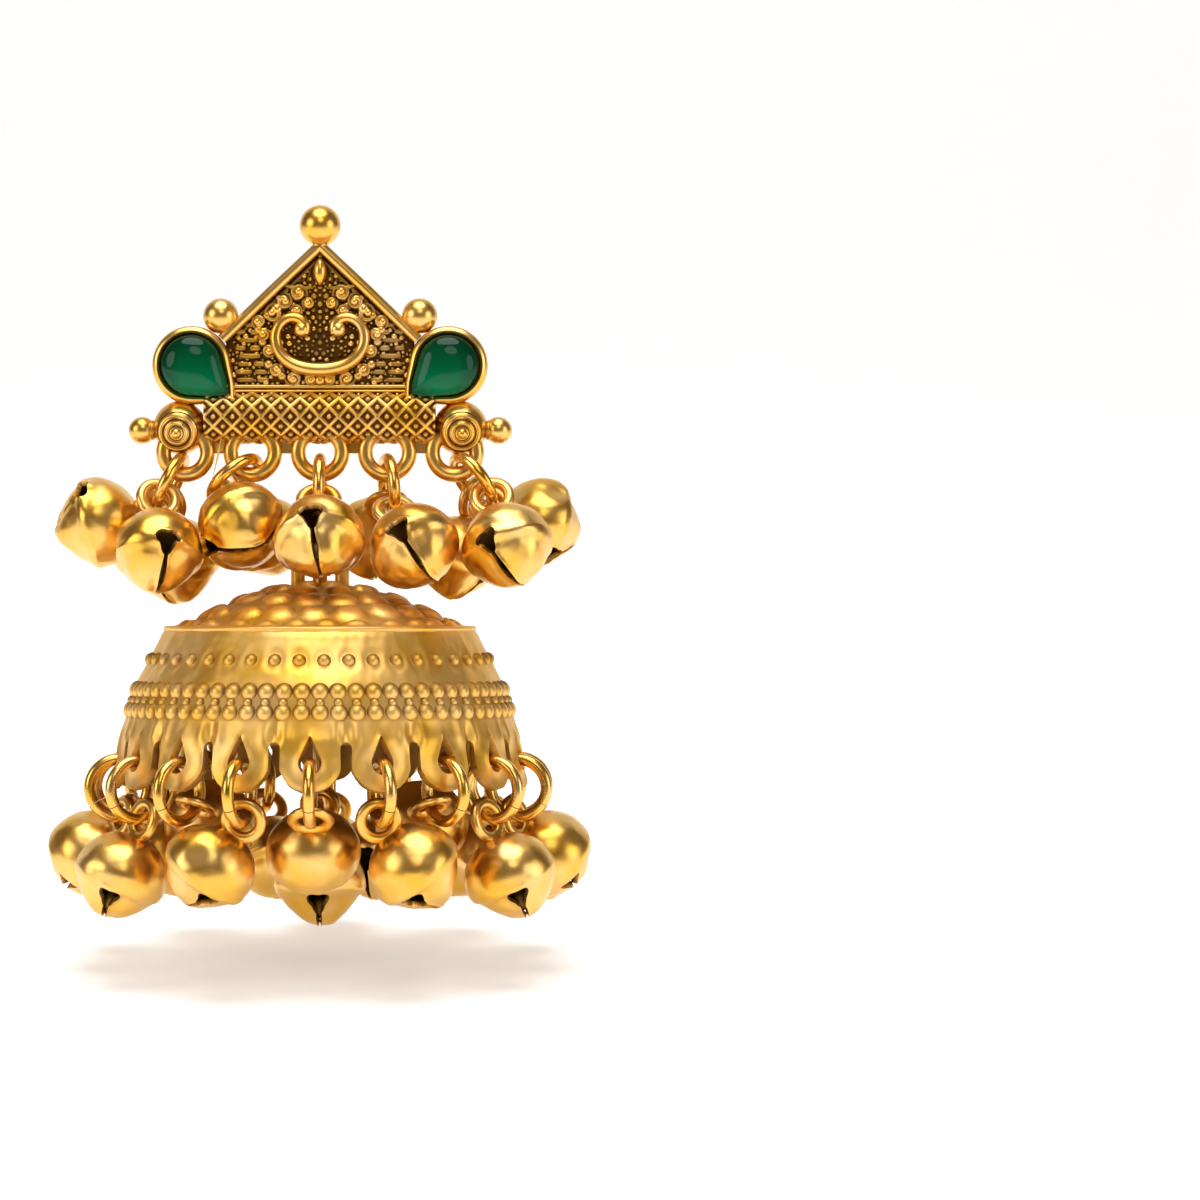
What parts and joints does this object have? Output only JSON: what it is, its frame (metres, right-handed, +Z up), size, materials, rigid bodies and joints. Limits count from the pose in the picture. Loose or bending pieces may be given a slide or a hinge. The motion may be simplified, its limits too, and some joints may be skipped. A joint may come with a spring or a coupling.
{
  "type": "jhumka earring",
  "caption": "Antique gilt jhumka earring: gabled crown with two green glass pears, lattice roll, and a pierced dome fringed with round jingle bells on jump rings",
  "frame": {"origin": "centre of the ear post where it leaves the flat back of the crown", "axes": "+Z up, the ornamented front faces -Y, the ear post points along +Y, +X to the right seen from the front"},
  "size_m": [0.0448, 0.0423, 0.0591],
  "materials": {
    "crown_gilt": "cast brass with satin antique gold plate, dark brown patina in the recesses",
    "dome_gilt": "pressed brass sheet with satin antique gold plate, dark in the hollows",
    "ring_gilt": "bright gold plated brass wire",
    "bell_gilt": "hand beaten gold plated brass, half gloss",
    "green_glass": "deep green glass cabochon, polished"
  },
  "bodies": {
    "crown_body": {"crown": "crown_gilt", "stone_left": "green_glass", "stone_right": "green_glass", "ring_far_left": "ring_gilt", "ring_left": "ring_gilt", "ring_right": "ring_gilt", "ring_far_right": "ring_gilt", "bell_far_left": "bell_gilt", "bell_left_front": "bell_gilt", "bell_left_back": "bell_gilt", "bell_left_high": "bell_gilt", "bell_left_hidden": "bell_gilt", "bell_right_front": "bell_gilt", "bell_right_hidden": "bell_gilt", "bell_far_right_front": "bell_gilt", "bell_far_right": "bell_gilt", "bell_far_right_back": "bell_gilt"},
    "link": {"ring_middle": "ring_gilt", "bell_middle": "bell_gilt"},
    "drop": {"dome": "dome_gilt", "centre_pin": "ring_gilt", "hem_ring_01": "ring_gilt", "hem_bell_01": "bell_gilt", "hem_ring_02": "ring_gilt", "hem_bell_02": "bell_gilt", "hem_ring_03": "ring_gilt", "hem_bell_03": "bell_gilt", "hem_ring_04": "ring_gilt", "hem_bell_04": "bell_gilt", "hem_ring_05": "ring_gilt", "hem_bell_05": "bell_gilt", "hem_ring_06": "ring_gilt", "hem_bell_06": "bell_gilt", "hem_ring_07": "ring_gilt", "hem_bell_07": "bell_gilt", "hem_ring_08": "ring_gilt", "hem_bell_08": "bell_gilt", "hem_ring_09": "ring_gilt", "hem_bell_09": "bell_gilt", "hem_ring_10": "ring_gilt", "hem_bell_10": "bell_gilt", "hem_ring_11": "ring_gilt", "hem_bell_11": "bell_gilt", "hem_ring_12": "ring_gilt", "hem_bell_12": "bell_gilt", "hem_ring_13": "ring_gilt", "hem_bell_13": "bell_gilt", "hem_ring_14": "ring_gilt", "hem_bell_14": "bell_gilt", "hem_ring_15": "ring_gilt", "hem_bell_15": "bell_gilt", "hem_ring_16": "ring_gilt", "hem_bell_16": "bell_gilt", "hem_ring_17": "ring_gilt", "hem_bell_17": "bell_gilt", "hem_ring_18": "ring_gilt", "hem_bell_18": "bell_gilt", "centre_bell": "bell_gilt"}
  },
  "joints": [
    {"name": "link_swing", "type": "hinge", "parent": "crown_body", "child": "link", "pos_m": [0, -0.0012, -0.01025], "axis": [1, 0, 0], "range_deg": [-5, 5]},
    {"name": "drop_swing", "type": "hinge", "parent": "link", "child": "drop", "pos_m": [0, -0.0012, -0.01363], "axis": [0, 1, 0], "range_deg": [-3, 3]}
  ]
}
